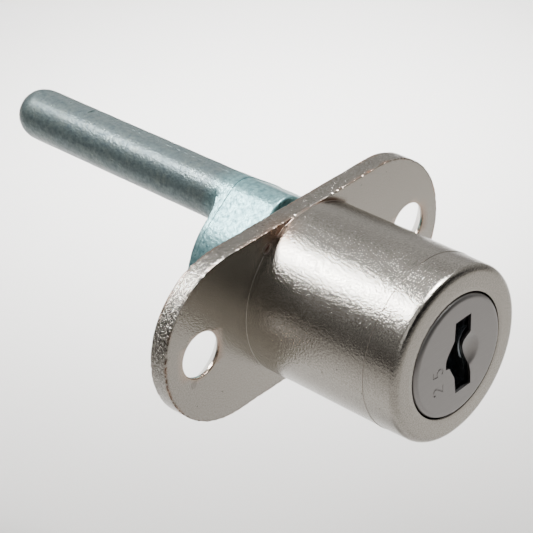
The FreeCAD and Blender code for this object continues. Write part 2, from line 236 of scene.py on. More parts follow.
low, front, above = (add(sky, "ShaderNodeMapRange", {0: split.outputs[axis], 1: edge, 2: core},
                         interpolation_type="SMOOTHSTEP").outputs[0]
                     for axis, edge, core in (("Z", 0.40, -0.05), ("Y", -0.34, -0.56), ("Z", 0.12, 0.40)))
dark, dim = (add(sky, "ShaderNodeMath", {0: one, 1: other}, operation="MULTIPLY").outputs[0]
             for one, other in ((lobe((-0.80, 0.60, 0), 0.40, 0.80), low), (front, above)))
room = linear("#858381")
for share, shade in ((lobe((0.62, 0.66, 0.40), 0.30, 0.75), "#ACAAA8"),
                     (lobe((0.80, 0.60, 0.10), 0.86, 0.96), "#CBC9C7"),
                     (lobe((-0.10, 0.60, 0.80), 0.80, 0.98), "#D4D4D2"),
                     (dark, "#46423E"),
                     (lobe((-0.64, -0.28, 0.71), 0.90, 0.95), "#FBFAF8"),
                     (dim, "#1C1917")):
    room = add(sky, "ShaderNodeMix", {"Factor": share, 6: room, 7: linear(shade)},
               data_type="RGBA").outputs[2]
glow = add(sky, "ShaderNodeBackground", {"Color": room})
add(sky, "ShaderNodeOutputWorld", {"Surface": glow.outputs[0]})

# %% [markdown]
# ## Finish: bright nickel on a zinc die-casting
# The housing is cast in zinc, tumbled, and plated with copper and bright nickel. The plating is a mirror, but
# it copies the tumbled skin below, so long reflections break into fine grain. On edges and in the corner
# where the barrel meets the flange the nickel is thin, and the copper below tints it. Three things carry
# that: relief in millimetres from noises with real widths, a tone laid on in layers, and numbers stored on
# the mesh.

# %% Nickel: relief of the tumbled skin
nickel, tree = fresh_material("bright_nickel_on_tumbled_zinc")
spot = add(tree, "ShaderNodeTexCoord").outputs["Object"]
# widths of the skin's grain; the real peel is finer, and this one is as coarse as it has to be to show
peel_mm, grit_mm, swell_mm, cloud_mm, dent_mm = 0.25, 0.13, 1.7, 4.0, 0.28
peel, grit, swell, cloud, dent = (
    add(tree, "ShaderNodeTexNoise",
        {"Vector": spot, "Scale": 1 / (mm * MM), "Detail": detail, "Distortion": twist}).outputs["Fac"]
    for mm, detail, twist in ((peel_mm, 4.0, 0.0), (grit_mm, 1.0, 0.0), (swell_mm, 2.0, 0.0),
                              (cloud_mm, 4.0, 0.0), (dent_mm, 4.0, 0.8)))
pit, pimple = (add(tree, "ShaderNodeTexVoronoi", {"Vector": spot, "Scale": 1 / (mm * MM)}).outputs["Distance"]
               for mm in (1.9, 0.9))
tumbled, hammered, copper, grime_and_painted_shade = (add(tree, "ShaderNodeAttribute", attribute_name=name).outputs["Fac"]
                                    for name in ("tumbled", "hammered", "thin", "grime_and_painted_shade"))
# the pits are sunk in the relief and also painted darker in the tone: painted shade in each pit
pit_depth_and_shade, grain, dent_valley_shade, dull, sheen = (
    add(tree, "ShaderNodeMapRange", dict(enumerate(span))).outputs[0]
    for span in ((pit, 0.055, 0.025), (grit, 0.35, 0.65), (dent, 0.60, 0.44, 0.0, 0.85),
                 (grime_and_painted_shade, 0.0, 1.0, 0.0, 0.35), (cloud, 0.3, 0.7, 0.16, 0.21)))
pimple_rise = add(tree, "ShaderNodeMapRange", {0: pimple, 1: 0.13, 2: 0.04},
                  interpolation_type="SMOOTHSTEP").outputs[0]
# the valleys of the dents on the hammered rim are painted dark in the tone: painted shade
peel_rise, dent_rise, painted_dent_shade = (
    add(tree, "ShaderNodeMath", {0: amount, 1: share}, operation="MULTIPLY").outputs[0]
    for amount, share in ((peel, tumbled), (dent, hammered), (dent_valley_shade, hammered)))
height = 0.0
for relief, mm in ((peel_rise, 0.046), (grit, 0.015), (swell, 0.006), (pimple_rise, 0.010),
                   (pit_depth_and_shade, -0.03), (dent_rise, 0.19)):
    height = add(tree, "ShaderNodeMath", {0: relief, 1: mm, 2: height}, operation="MULTIPLY_ADD").outputs[0]

# %% Nickel: layers of tone, shine and the shader
ejector_place, mark_edge, mark_core = (-0.01813, 0, -0.00307), 0.55, 0.38  # a mark the die's ejector left: painted a little darker, as painted shade of its shallow dip
gap = add(tree, "ShaderNodeVectorMath", {0: spot, 1: ejector_place}, operation="DISTANCE").outputs["Value"]
ejector_dip_shade = add(tree, "ShaderNodeMapRange", {0: gap, 1: mark_edge * MM, 2: mark_core * MM, 4: 0.55}).outputs[0]
# the tone's layers: grain and copper are the metal's own, the dirt-and-shade layer is partly dirt and partly
# painted shade, and the pit, dent-valley and ejector layers are painted shade
tone = linear("#9F9B93")
for share, shade in ((grain, "#BEBAB2"), (copper, "#D9A27E"), (grime_and_painted_shade, "#5B4332"), (pit_depth_and_shade, "#6E675F"),
                     (painted_dent_shade, "#3F3B36"), (ejector_dip_shade, "#8F8A84")):
    tone = add(tree, "ShaderNodeMix", {"Factor": share, 6: tone, 7: linear(shade)},
               data_type="RGBA").outputs[2]
rough = add(tree, "ShaderNodeMath", {0: sheen, 1: dull}, operation="ADD").outputs[0]


def metal_surface(tree, tone, rough, height, metallic=1.0):
    """The end of every metal here: relief in millimetres, one shader and the output."""
    bump = add(tree, "ShaderNodeBump", {"Strength": 1.0, "Distance": MM, "Height": height})
    metal = add(tree, "ShaderNodeBsdfPrincipled", {
        "Base Color": tone, "Metallic": metallic, "Roughness": rough, "Normal": bump.outputs[0]})
    add(tree, "ShaderNodeOutputMaterial", {"Surface": metal.outputs[0]})


metal_surface(tree, tone, rough, height)
print("nickel has", len(tree.nodes), "nodes")

# %% [markdown]
# ## The lock body
# Barrel and flange are one casting. Each column of the skin looks outwards from the lock's axis in one
# direction: it climbs the barrel's front ring, rounds the nose, runs along the barrel, sweeps through the
# small fillet and out over the flange to its rim, and comes back over the rear face into the crank's seat.
# Only the flange's reach changes from column to column, so one rule makes the whole casting.

# %% Sizes of the lock body
barrel_r, barrel_front, witness_y = 10.0, -20.4, -16.25
nose_r, nose_round = 9.942, 0.85
recess_r, shoulder_y, bore_r = 7.1, -17.6, 6.3
flange_half_x, flange_half_z, flange_rear = 21.9, 9.9, 2.3
rim_round, root_round = 0.08, 0.04
hole_x, hole_r, sink_r, sink_land = 16.75, 2.65, 4.55, 0.4
groove_half, groove_r, groove_front = 3.45, 7.4, -17.0
seat_r, seat_floor, track_front = 7.6, -1.2, -3.0
lock_columns = 960


def flange_reach(angle):
    """From the axis to the flange's rim: straight long sides, half-round ends."""
    centre = flange_half_x - flange_half_z
    s, c = np.abs(np.sin(angle)), np.abs(np.cos(angle))
    straight = flange_half_z / np.maximum(s, 1e-9)
    round_end = centre * c + np.sqrt(np.maximum(flange_half_z ** 2 - (centre * s) ** 2, 0))
    return np.where(straight * c < centre, straight, round_end)


# %% Rings of the barrel
around = np.linspace(0, 2 * math.pi, lock_columns, endpoint=False)
reach = flange_reach(around)
wide_reach = np.maximum(reach, barrel_r + root_round + rim_round)
squeeze = np.where(reach < wide_reach, (reach - barrel_r) / (wide_reach - barrel_r), 1.0)
rings = []  # (radius of each column, place along Y)


def ring(radius, y, squeezed=False):
    radius = np.broadcast_to(np.asarray(radius, float), around.shape)
    rings.append((barrel_r + (radius - barrel_r) * squeeze if squeezed else radius, y))


def bend(cx, cy, radius, start, end, count):
    """Points on an arc of a section, as (radius from the axis, place along the axis)."""
    angles = np.radians(np.linspace(start, end, count))
    return [(cx + radius * math.cos(a), cy + radius * math.sin(a)) for a in angles]


for r, y in ([(recess_r, shoulder_y)] + bend(recess_r + 0.12, barrel_front + 0.12, 0.12, 180, 270, 4)
             + [(7.8, barrel_front), (8.4, barrel_front)]
             + bend(nose_r - nose_round, barrel_front + nose_round, nose_round, 270, 360, 12)):
    ring(r, y)
for y in np.linspace(barrel_front + nose_round, witness_y - 0.12, 6)[1:]:
    share = (y - barrel_front - nose_round) / (witness_y - barrel_front - nose_round)
    ring(nose_r + (barrel_r - nose_r) * share, y)
witness_lift = 0.042  # the thread that stands where the die's two parts met
for lift, y in ((0.0, -0.06), (0.0, -0.045), (witness_lift, -0.012), (witness_lift, 0.012), (0.0, 0.045),
                (0.0, 0.06), (0.0, 0.12)):
    ring(barrel_r + lift, witness_y + y)
for y in [*np.linspace(witness_y + 0.12, -0.7, 13)[1:], -0.4, -root_round - 0.05]:
    ring(barrel_r, y)

# %% Rings of the flange and the hollow behind it
for r, y in bend(barrel_r + root_round, -root_round, root_round, 180, 90, 7):
    ring(r, y, squeezed=True)
for share in (0.02, 0.06, 0.14, 0.28, 0.44, 0.60, 0.76, 0.88, 0.95, 0.98):
    ring(barrel_r + root_round + (wide_reach - rim_round - barrel_r - root_round) * share, 0.0, squeezed=True)
for dr, y in bend(-rim_round, rim_round, rim_round, 270, 360, 6):
    ring(wide_reach + dr, y, squeezed=True)
for y in (0.2, 0.32, 0.5, 0.9, 1.4, 1.8, 2.0, 2.1):
    ring(reach, y)
for dr, y in bend(-rim_round, flange_rear - rim_round, rim_round, 0, 90, 6):
    ring(reach + dr, y)
for share in np.linspace(0, 1, 8)[1:-1]:
    ring(reach - rim_round + (seat_r + 0.1 - reach + rim_round) * share, flange_rear)
groove = np.clip(groove_half / np.maximum(np.abs(np.cos(around)), 1e-9), bore_r, groove_r)
degrees = np.degrees(around)
track = np.where((degrees >= 160) | (degrees <= 20), seat_r, groove)
for radius, y in ((seat_r + 0.1, flange_rear), (seat_r, flange_rear - 0.1), (seat_r, seat_floor),
                  (track, seat_floor), (track, track_front), (groove, track_front), (groove, groove_front),
                  (bore_r, groove_front), (bore_r, shoulder_y)):
    ring(radius, y)

radii = np.array([r for r, y in rings])
along = np.array([y for r, y in rings])
skin = np.stack([radii * np.cos(around), np.broadcast_to(along[:, None], radii.shape),
                 radii * np.sin(around)], axis=-1)
print("lock body:", len(rings), "rings of", lock_columns)

# %% [markdown]
# ## Knocks from tumbling
# Castings are tumbled together before plating, so the flange's rim carries hundreds of small knocks. They are
# real dents here: nicks with fixed random places, each one pushing the edge in a few hundredths of a
# millimetre, and a slow unevenness over the barrel so that long reflections wander as on the real one.

# %% Where the rim runs, and how deep it is nicked
rim_path = np.stack([reach * np.cos(around), reach * np.sin(around)], axis=1)
step = np.linalg.norm(np.roll(rim_path, -1, axis=0) - rim_path, axis=1)
walked = np.concatenate([[0], np.cumsum(step)[:-1]])
rim_length = float(step.sum())
end_x = flange_half_x - flange_half_z
rim_out = np.stack([np.sign(rim_path[:, 0]) * np.maximum(np.abs(rim_path[:, 0]) - end_x, 0),
                    rim_path[:, 1]], axis=1)
rim_out /= np.linalg.norm(rim_out, axis=1)[:, None]


def nicks(seed, count, deepest):
    """How far the rim is pushed in at each column."""
    rng = np.random.default_rng(seed)
    depth = np.zeros(lock_columns)
    for centre, width, deep in zip(rng.uniform(0, rim_length, count), rng.uniform(0.06, 0.26, count),
                                   rng.uniform(0.1, 1.0, count) ** 2 * deepest):
        gap = np.abs(walked - centre)
        depth += deep * np.exp(-(np.minimum(gap, rim_length - gap) / width) ** 2)
    return depth


def ripple(points, wavelength, seed, waves=14):
    """Smooth unevenness between about -1 and 1: some sine waves in random directions, always the same."""
    rng = np.random.default_rng(seed)
    ways = rng.normal(size=(waves, 3))
    ways /= np.linalg.norm(ways, axis=1)[:, None]
    ways *= (2 * math.pi / wavelength * rng.uniform(0.7, 1.4, waves))[:, None]
    phases = rng.uniform(0, 2 * math.pi, waves)
    return np.sin(np.asarray(points) @ ways.T + phases).sum(axis=-1) * math.sqrt(2 / waves) / 1.6


# %% Push the skin in, and let it swell
front_nicks, rear_nicks = nicks(3, 420, 0.035), nicks(4, 260, 0.045)
for k, y in enumerate(along):
    near_rim = np.exp(-((reach - radii[k]) / 0.12) ** 2)
    front, rear = (front_nicks * near_rim * math.exp(-(y / 0.20) ** 2),
                   rear_nicks * near_rim * math.exp(-((flange_rear - y) / 0.20) ** 2))
    inward = (front + rear)[:, None] * rim_out
    skin[k, :, 0] -= inward[:, 0]
    skin[k, :, 2] -= inward[:, 1]
    skin[k, :, 1] += 0.7 * (front - rear)
outside = radii > barrel_r - 2.2
uneven = 0.006 * ripple(skin.reshape(-1, 3), 5.0, 11).reshape(radii.shape) * outside
skin *= 1 + (uneven / np.maximum(radii, 1))[..., None] * np.array([1, 0, 1])


# %% The casting's skin
def skin_faces(rows, columns, loop_rows=False):
    """Quads between rings of points; the columns always close, and the rows do where loop_rows is true."""
    i, j = np.meshgrid(np.arange(rows if loop_rows else rows - 1), np.arange(columns), indexing="ij")
    i1, j1 = (i + 1) % rows, (j + 1) % columns
    quads = np.stack([i * columns + j, i * columns + j1, i1 * columns + j1, i1 * columns + j], axis=-1)
    return quads.reshape(-1, 4).tolist()


def close_up(piece, crease=32.0, merge=0.002):
    """Weld the seams, turn every face outwards and keep only real corners sharp."""
    bm = bmesh.new()
    bm.from_mesh(piece.data)
    bmesh.ops.remove_doubles(bm, verts=bm.verts, dist=merge * MM)
    bmesh.ops.dissolve_degenerate(bm, dist=merge * 0.5 * MM, edges=bm.edges)
    bmesh.ops.recalc_face_normals(bm, faces=bm.faces)
    bm.to_mesh(piece.data)
    bm.free()
    piece.data.shade_smooth()
    piece.data.set_sharp_from_angle(angle=math.radians(crease))
    return piece


lock_body = piece_from("lock_body", skin.reshape(-1, 3), skin_faces(len(rings), lock_columns, loop_rows=True),
                       nickel)
close_up(lock_body)

# %% [markdown]
# ## A lathe made of Geometry Nodes
# Drills, screws, washers and caps are all bodies of revolution. One small tree does what a lathe does: it
# takes an open section, sweeps it round a circle, welds the points that meet on the axis, and gives the
# material. The result is kept as a plain mesh, because only plain meshes leave Blender.

# %% Trees with named inputs
def node_tree_with(name, inputs):
    """A Geometry Nodes tree with named inputs: a fraction, a whole number, or None for a material."""
    kinds = {float: "Float", int: "Int", type(None): "Material"}
    tree = bpy.data.node_groups.new(name, "GeometryNodeTree")
    tree.interface.new_socket("Geometry", in_out="INPUT", socket_type="NodeSocketGeometry")
    for label, value in inputs.items():
        kind = "NodeSocket" + kinds[type(value)]
        socket = tree.interface.new_socket(label, in_out="INPUT", socket_type=kind)
        if value is not None:
            socket.default_value = value
    tree.interface.new_socket("Geometry", in_out="OUTPUT", socket_type="NodeSocketGeometry")
    return tree, add(tree, "NodeGroupInput").outputs


def end_tree(tree, shape, material):
    """Close a tree: real geometry, its material and the output."""
    real = add(tree, "GeometryNodeRealizeInstances", {0: shape})
    given = add(tree, "GeometryNodeSetMaterial", {0: real.outputs[0], "Material": material})
    add(tree, "NodeGroupOutput", {0: given.outputs[0]})


# %% A piece that keeps its tree's result
def settled(piece):
    """Apply every modifier: the evaluated shape becomes the piece's own plain mesh."""
    bpy.context.view_layer.update()
    view = piece.evaluated_get(bpy.context.evaluated_depsgraph_get())
    mesh = bpy.data.meshes.new_from_object(view)
    old = piece.data
    mesh.name = piece.name
    piece.modifiers.clear()
    piece.data = mesh
    bpy.data.meshes.remove(old)
    return piece


def run_tree(piece, tree, **values):
    """Give a piece the tree as a modifier, set its named inputs and settle the result."""
    nodes = piece.modifiers.new("nodes", "NODES")
    nodes.node_group = tree
    for item in tree.interface.items_tree:
        key = item.name.lower().replace(" ", "_")
        if item.in_out == "INPUT" and key in values:
            nodes[item.identifier] = values[key]
    return settled(piece)


# %% The lathe tree
lathe_tree, lathe_in = node_tree_with("lathe", {
    "Path Radius": 0.02, "Segments": 96, "Material": None})
section = add(lathe_tree, "GeometryNodeMeshToCurve", {0: lathe_in["Geometry"]})
path = add(lathe_tree, "GeometryNodeCurvePrimitiveCircle",
           {"Resolution": lathe_in["Segments"], "Radius": lathe_in["Path Radius"]})
sweep = add(lathe_tree, "GeometryNodeCurveToMesh",
            {"Curve": path.outputs["Curve"], "Profile Curve": section.outputs[0]})
stood = add(lathe_tree, "GeometryNodeTransform",
            {"Geometry": sweep.outputs[0], "Rotation": (math.pi / 2, 0, 0)})
welded = add(lathe_tree, "GeometryNodeMergeByDistance", {"Geometry": stood.outputs[0], "Distance": 1e-6})
end_tree(lathe_tree, welded.outputs[0], lathe_in["Material"])


def line_from(name, points):
    """An open line through points, for a tree that sweeps it or scatters along it."""
    return piece_from(name, points, edges=[(k, k + 1) for k in range(len(points) - 1)])


def turned(name, section_points, material=None, segments=96, at=(0.0, 0.0), crease=32.0):
    """A body of revolution about a line along Y, from (radius, place along the axis) pairs in millimetres."""
    path_radius = 20.0
    piece = line_from(name, [(r - path_radius, y, 0) for r, y in section_points])
    run_tree(piece, lathe_tree, path_radius=path_radius * MM, segments=segments, material=material)
    piece.data.transform(Matrix.Translation(Vector((at[0], 0, at[1])) * MM))
    return close_up(piece, crease)


# %% Screw holes, countersunk from the rear
def carve(piece, cutter):
    """Take a closed cutter out of a piece."""
    cut = piece.modifiers.new("cut", "BOOLEAN")
    cut.operation = "DIFFERENCE"
    cut.solver = "EXACT"
    cut.object = cutter
    settled(piece)
    bpy.data.objects.remove(cutter)


lip = 0.12
for side_x in (-hole_x, hole_x):
    drill = [(0, -1.0), (hole_r + lip, -1.0)] + bend(hole_r + lip, lip, lip, 270, 180, 4)
    drill += [(hole_r, sink_land), (sink_r - lip, flange_rear - lip), (sink_r + 0.1, flange_rear + 0.02),
              (sink_r + 0.1, flange_rear + 1), (0, flange_rear + 1)]
    carve(lock_body, turned("drill", drill, segments=112, at=(side_x, 0.0)))

# %% [markdown]
# ## Where the plating is rough, thin, soiled or painted with shade
# The nickel's tree reads four numbers at each point of the casting: how rough the skin below is, how hard the
# rim was hammered, how thin the nickel is, and how much dirt and painted shade lie on the edges, the seam, the
# witness line and one chip. They are worked out from where the point lies, so they stay with the casting
# however it is seen.

# %% Places on the casting
def points_of(piece):
    """The piece's points in millimetres."""
    flat = np.zeros(len(piece.data.vertices) * 3)
    piece.data.vertices.foreach_get("co", flat)
    return flat.reshape(-1, 3) / MM


spots = points_of(lock_body)
x, y, z = spots.T
axis_r = np.hypot(x, z)


def bump_at(place, widths):
    """1 at one place on the casting, fading to 0 over the widths."""
    return np.exp(-(((spots - place) / widths) ** 2).sum(axis=1))


to_rim = flange_reach(np.arctan2(z, x)) - axis_r
near_edge = np.exp(-(to_rim / 0.18) ** 2)
near_edge *= np.exp(-(y / 0.3) ** 2) + np.exp(-((flange_rear - y) / 0.3) ** 2)
hole_gap = np.abs(np.hypot(np.abs(x) - hole_x, z) - hole_r)
hole_edge = np.exp(-(hole_gap / 0.2) ** 2) * np.exp(-(y / 0.3) ** 2)
corner = bump_at((-4.4, 0, 9.2), (2.2, 1.6, 1.3))
# a small chip in the flange's top edge is not cut into the shape; a dark spot is painted there instead:
# painted shade
painted_notch_shade = bump_at((-4.4, 0, 9.9), (0.35, 0.25, 0.35))
seam = np.exp(-((y + 0.02) / 0.16) ** 2) * np.exp(-((axis_r - 10.1) / 0.3) ** 2) * (z > 7)


# %% Four numbers at each point
def mark(piece, name, values):
    """Store one number at each point for the material to read."""
    layer = piece.data.attributes.new(name, "FLOAT", "POINT")
    layer.data.foreach_set("value", np.asarray(values, np.float32))


patchy = np.clip(ripple(spots, 3.0, 21) + 0.3, 0, 1)
right_end = 0.35 + 0.65 * (x > 10)
mark(lock_body, "thin", np.clip(0.32 * corner + 0.8 * near_edge * patchy * right_end + 0.3 * hole_edge, 0, 1))

witness = 0.5 * (np.abs(y - witness_y) < 0.03) * (axis_r > 9)
# the rim's front edge is painted dark: painted shade along its low side, and dirt along the right end
low_edge = 0.9 * near_edge * (y < 0.3) * np.where((z < 2) | (x > 14), 1.0, 0.15)
# the top of the corner where barrel and flange meet is painted dark brown along a wavering line
top_seam_darkening = 0.9 * seam * np.clip(ripple(spots, 2.2, 8) + 0.5, 0, 1)
edge_dirt_and_low_shade = low_edge * np.clip(ripple(spots, 0.45, 31) + 0.6, 0, 1)
mark(lock_body, "grime_and_painted_shade", np.clip(top_seam_darkening + witness + painted_notch_shade + edge_dirt_and_low_shade, 0, 1))

nose_fade = np.clip((y - barrel_front - 0.2) / 5.0, 0, 1)
on_flat = (y > -0.6) | (y < barrel_front + 0.02)
mark(lock_body, "tumbled", np.where(on_flat, 0.45, 0.6 + 0.4 * nose_fade))

on_rim = np.exp(-(to_rim / 0.2) ** 2) * np.clip((y - 0.12) / 0.25, 0, 1)
left_end = 0.25 + 0.75 * bump_at((-19.0, 0, 3.0), (6.0, np.inf, 5.5))
mark(lock_body, "hammered", on_rim * left_end)


# %% Finish the lock body
def count_faces(piece):
    piece.data.calc_loop_triangles()
    print(piece.name, "has", len(piece.data.loop_triangles), "triangles")


def finish(piece, crease):
    """Weld a carved piece, and let large flat faces rule the shading beside small rounded ones."""
    close_up(piece, crease, merge=0.0005)
    weigh = piece.modifiers.new("weigh", "WEIGHTED_NORMAL")
    weigh.keep_sharp = True
    count_faces(settled(piece))


finish(lock_body, crease=38.0)
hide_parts("housing")
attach(lock_body, "housing")

# %% [markdown]
# ## Finish: brushed stainless cap
# The cap over the plug is pressed from thin stainless sheet whose face was brushed before pressing. The
# brushing leaves fine parallel scratches that all run along the flange, so highlights smear across them.

# %% A metal with one noise, and the brushed sheet
def plain_metal(name, low_tone, high_tone, grain_mm, height_mm, shine, stretch=(1, 1, 1), lean=0.0):
    """A metal with one noise for tone, roughness and relief, stretched where the making leaves lines."""
    material, tree = fresh_material(name)
    spot = add(tree, "ShaderNodeTexCoord").outputs["Object"]
    pulled = add(tree, "ShaderNodeMapping", {
        "Vector": spot, "Rotation": (0, math.radians(lean), 0), "Scale": stretch})
    grain = add(tree, "ShaderNodeTexNoise", {
        "Vector": pulled.outputs[0], "Scale": 1 / (grain_mm * MM), "Detail": 3.0}).outputs["Fac"]
    tone = add(tree, "ShaderNodeMix", {"Factor": grain, 6: linear(low_tone), 7: linear(high_tone)},
               data_type="RGBA").outputs[2]
    relief = add(tree, "ShaderNodeMath", {0: grain, 1: height_mm}, operation="MULTIPLY").outputs[0]
    rough = add(tree, "ShaderNodeMapRange", {0: grain, 1: 0.3, 2: 0.7, 3: shine[0], 4: shine[1]}).outputs[0]
    metal_surface(tree, tone, rough, relief)
    return material


scratch_mm = 0.07  # width of a brush line; real ones are finer, these are as fine as can show
brushed = plain_metal("brushed_stainless_sheet", "#8C8A89", "#A8A6A5", scratch_mm, 0.0035, (0.30, 0.42),
                      stretch=(0.03, 1, 1), lean=-4)

# %% [markdown]
# ## The face cap
# The cap is one pressed cup: a flat face, a rounded edge and a short skirt crimped behind the plug's head. A
# finger-wide scoop beside the key slot guides the key in. It starts on the lathe tree, with rings close
# enough for the scoop to be pressed into them, and then the key slot and two plain numerals are cut.

# %% Cap sizes and blank
cap_face, sheet_mm, cap_r, skirt_r, cap_round = -20.65, 0.35, 6.95, 6.60, 0.52
skirt_end, crimp_r, crimp_y = -18.2, 6.42, -18.45
ring_gap = 0.112
face_radii = np.arange(0, cap_r - cap_round, ring_gap)
blank = [(r, cap_face) for r in face_radii]
blank += bend(cap_r - cap_round, cap_face + cap_round, cap_round, 270, 360, 8)
blank += [(cap_r, -19.0), (cap_r, skirt_end), (crimp_r, skirt_end), (crimp_r, crimp_y), (skirt_r, crimp_y),
          (skirt_r, cap_face + sheet_mm + 0.1), (skirt_r - 0.1, cap_face + sheet_mm)]
blank += [(r, cap_face + sheet_mm) for r in face_radii[::-1]]
face_cap = turned("face_cap", blank, brushed, segments=300)

# %% Press the scoop
ball_r, scoop_deep, scoop_x, scoop_low, scoop_high, scoop_reach = 3.9, 0.5, 1.35, -0.1, 0.0, 2.3
spots = points_of(face_cap)
nearest = np.clip(spots[:, 2], scoop_low, scoop_high)
off_line = np.hypot(spots[:, 0] - scoop_x, spots[:, 2] - nearest)
ball = np.sqrt(np.maximum(ball_r ** 2 - off_line ** 2, 0)) - (ball_r - scoop_deep)
soft_edge = 0.05
pressed = 0.5 * (ball + np.sqrt(ball ** 2 + soft_edge ** 2))
pressed *= (spots[:, 1] < cap_face + sheet_mm + 0.01) * (off_line < scoop_reach)
spots[:, 1] += pressed
face_cap.data.vertices.foreach_set("co", (spots * MM).ravel())

# %% Key slot
key_half = 4.38
key_left, key_right, key_flare = -0.47, 2.03, 0.18


def key_slot_outline():
    """The slot's corners as (x, z): plain ends right of the axis, a bulge left, a ward from the right."""
    flare = key_left - key_flare
    left = [(key_left, key_half), (flare, 2.32)]
    for share in np.linspace(0, 1, 9)[1:]:
        z = 2.32 * (1 - share)
        left.append((flare + (-2.06 - flare) * math.sin(share * math.pi / 2) ** 1.25, z))
    left += [(-2.06, -0.57), (-1.48, -0.70), (flare, -2.32), (key_left, -key_half)]
    side = [(key_right, -key_half), (key_right, -2.98), (1.62, -1.2), (1.34, -0.1), (1.22, 0.5), (1.2, 0.96),
            (1.24, 1.4), (1.4, 1.84), (1.98, 2.23)]
    return left + side + [(key_right, key_half)]


def prism(name, outline, y0, y1, material=None):
    """An outline in X and Z pushed along Y."""
    count = len(outline)
    points = [(x, y, z) for y in (y0, y1) for x, z in outline]
    walls = [(k, (k + 1) % count, count + (k + 1) % count, count + k) for k in range(count)]
    ends = [tuple(range(count)), tuple(range(count, 2 * count))]
    return close_up(piece_from(name, points, ends + walls, material))


carve(face_cap, prism("slot", key_slot_outline(), cap_face - 1, cap_face + 1.6))

# %% [markdown]
# A small hand punch leaves a shallow groove with a round floor. Each numeral is one line of points, a tree
# sweeps a round tip along it, and what that makes is cut out of the cap.

# %% Two plain numerals
stroke_tree, stroke_in = node_tree_with("round stroke", {"Stroke Radius": 0.00007, "Material": None})
stroke_line = add(stroke_tree, "GeometryNodeMeshToCurve", {0: stroke_in["Geometry"]})
tip = add(stroke_tree, "GeometryNodeCurvePrimitiveCircle",
          {"Resolution": 10, "Radius": stroke_in["Stroke Radius"]})
stroke = add(stroke_tree, "GeometryNodeCurveToMesh",
             {"Curve": stroke_line.outputs[0], "Profile Curve": tip.outputs["Curve"], "Fill Caps": True})
end_tree(stroke_tree, stroke.outputs[0], stroke_in["Material"])
numeral_two = [(0.0, 1.2)] + [(0.43 + 0.43 * math.cos(a), 1.14 + 0.36 * math.sin(a))
                              for a in np.radians(np.linspace(170, -35, 9))] + [(0.0, 0.0), (0.86, 0.0)]
numeral_five = [(0.8, 1.5), (0.12, 1.5), (0.05, 0.86)]
numeral_five += [(0.38 + 0.46 * math.cos(a), 0.47 + 0.47 * math.sin(a))
                 for a in np.radians(np.linspace(118, -140, 10))]
punch_r, punch_lift = 0.115, 0.045
for corner_x, corner_z, strokes in ((-2.55, -2.95, numeral_two), (-2.55, -0.75, numeral_five)):
    punch = line_from("punch", [(corner_x - v, cap_face - punch_lift, corner_z + u) for u, v in strokes])
    run_tree(punch, stroke_tree, stroke_radius=punch_r * MM, material=brushed)
    carve(face_cap, close_up(punch, merge=0.0005))
finish(face_cap, crease=40.0)
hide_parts("plug_face_cap")
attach(face_cap, "plug")

# %% [markdown]
# ## Finish: plain metals inside the lock
# The wafers are blanked from brass sheet, the springs are drawn wire, and the plug is bare zinc alloy, which
# shows dark through the key slot. Screw and washer are bright zinc-plated steel. Blanking leaves the brass
# softly streaked, drawing leaves the wire smooth, and the zinc plating is pale, even and a little blue.

# %% Plain metals
plug_zinc = plain_metal("bare_zinc_alloy", "#868F95", "#AAB2B7", 0.12, 0.004, (0.30, 0.45))
wafer_brass = plain_metal("blanked_brass_sheet", "#A98445", "#CFAE68", 0.09, 0.003, (0.28, 0.42), (1, 1, 0.2))
spring_wire = plain_metal("drawn_spring_wire", "#9A9A98", "#C4C4C2", 0.05, 0.001, (0.2, 0.3))
screw_steel = plain_metal("bright_zinc_plated_steel", "#A9B2B8", "#CBD1D4", 0.15, 0.003, (0.22, 0.34))

for name in ["plug"] + ["wafer_%d" % (k + 1) for k in range(7)]:
    node = frame["nodes"][name]
    node.data.materials.clear()
    node.data.materials.append(plug_zinc if name == "plug" else wafer_brass)

# %% [markdown]
# ## The plug's ward
# Inside the slot a rib of the plug stands out behind the cap, so that only the right key passes. It is a
# plain prism, and the same round stroke along its front edge rounds it.

# %% Ward and its rounded edge
ward_line = [(2.5, 2.1), (2.05, 1.85), (1.68, 1.56), (1.33, 1.1), (1.15, 0.53), (1.18, -0.1), (1.38, -0.86),
             (1.78, -1.6), (2.2, -2.24), (2.5, -2.9)]
ward_front, ward_deep, ward_edge_r = cap_face + sheet_mm + scoop_deep + 0.14, 2.2, 0.13
key_ward = prism("key_ward", ward_line + [(2.9, -2.9), (2.9, 2.1)], ward_front, ward_front + ward_deep,
                 plug_zinc)
ward_edge = line_from("key_ward_edge", [(x, ward_front, z) for x, z in ward_line])
run_tree(ward_edge, stroke_tree, stroke_radius=ward_edge_r * MM, material=plug_zinc)
close_up(ward_edge, merge=0.0005)
for piece in (key_ward, ward_edge):
    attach(piece, "plug")
    count_faces(piece)

# %% [markdown]
# ## Finish: blue-passivated zinc
# The crank is a zinc casting with a thin blue chromate film. The film is only a few light waves thick, so its
# tint drifts between cyan, grey-green and a faint straw, and it is bluest on the web. The casting skin below
# is frosted and pitted, so the shine is broken and a little less than a bare metal's.

# %% Blue-passivated zinc
blued, tree = fresh_material("blue_passivated_zinc_casting")
spot = add(tree, "ShaderNodeTexCoord").outputs["Object"]
